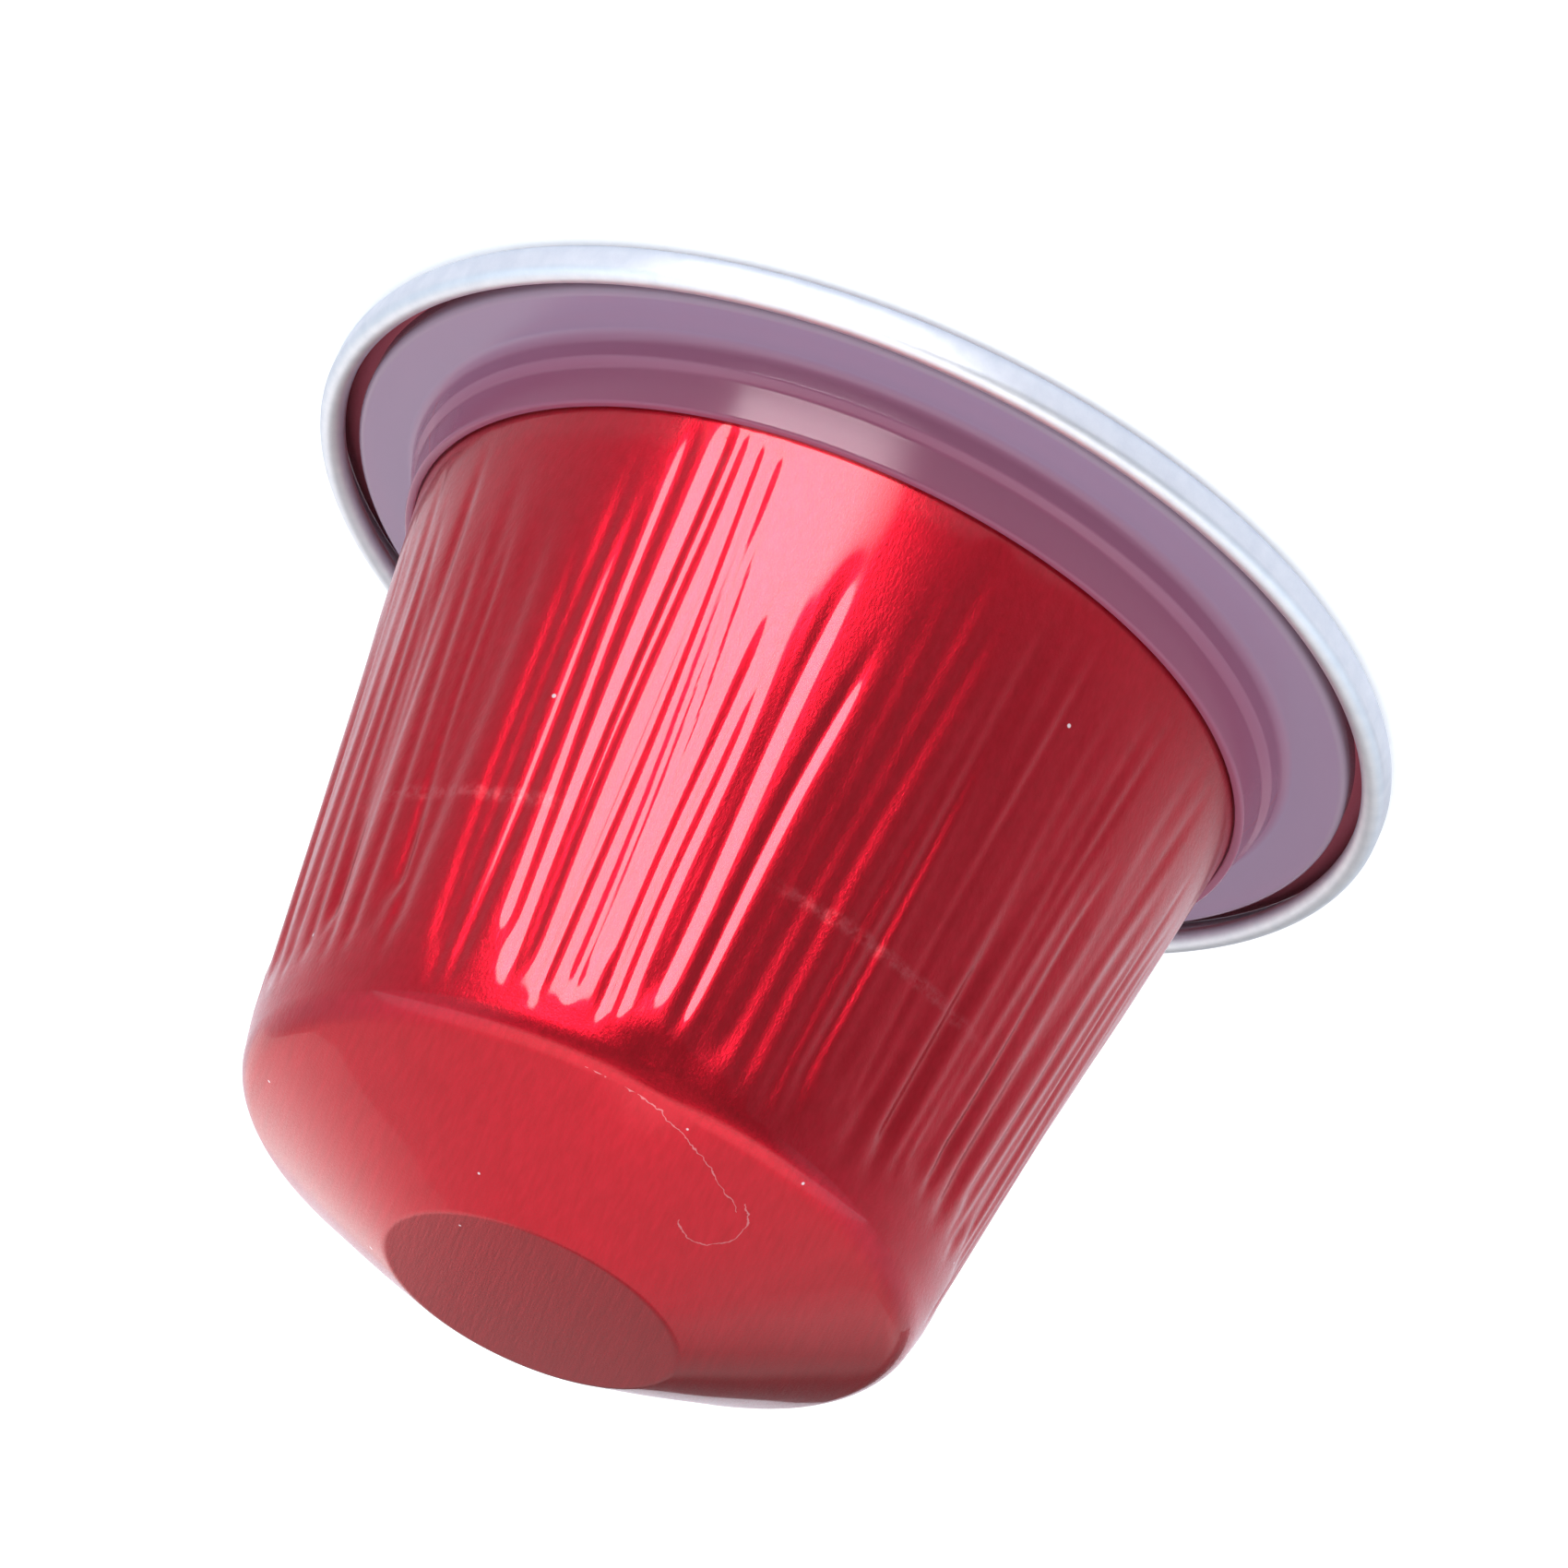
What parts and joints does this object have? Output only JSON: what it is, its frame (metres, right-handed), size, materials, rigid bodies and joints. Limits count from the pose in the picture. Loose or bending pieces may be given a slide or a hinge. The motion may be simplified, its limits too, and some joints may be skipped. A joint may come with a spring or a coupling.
{
  "type": "coffee pod",
  "caption": "Sealed single-serve coffee pod: deep-drawn tapered aluminium cup with a rolled rim, a silicone sealing ring round its foot, a flat foil lid and a conical nose.",
  "frame": {"origin": "centre of the lid foil's outer face, the face that the pod stands on", "axes": "+Z along the pod's axis of revolution, from the lid towards the nose; X and Y are any two axes across it"},
  "size_m": [0.037, 0.037, 0.0274],
  "materials": {
    "red_lacquer": "tinted lacquer on drawn aluminium sheet, satin gloss",
    "silicone": "translucent whitish silicone, soft sheen",
    "bare_aluminium": "bare rolled aluminium, satin"
  },
  "bodies": {
    "root": {"sealed_cup": "red_lacquer", "sealing_ring": "silicone", "lid_foil": "bare_aluminium"}
  },
  "joints": []
}
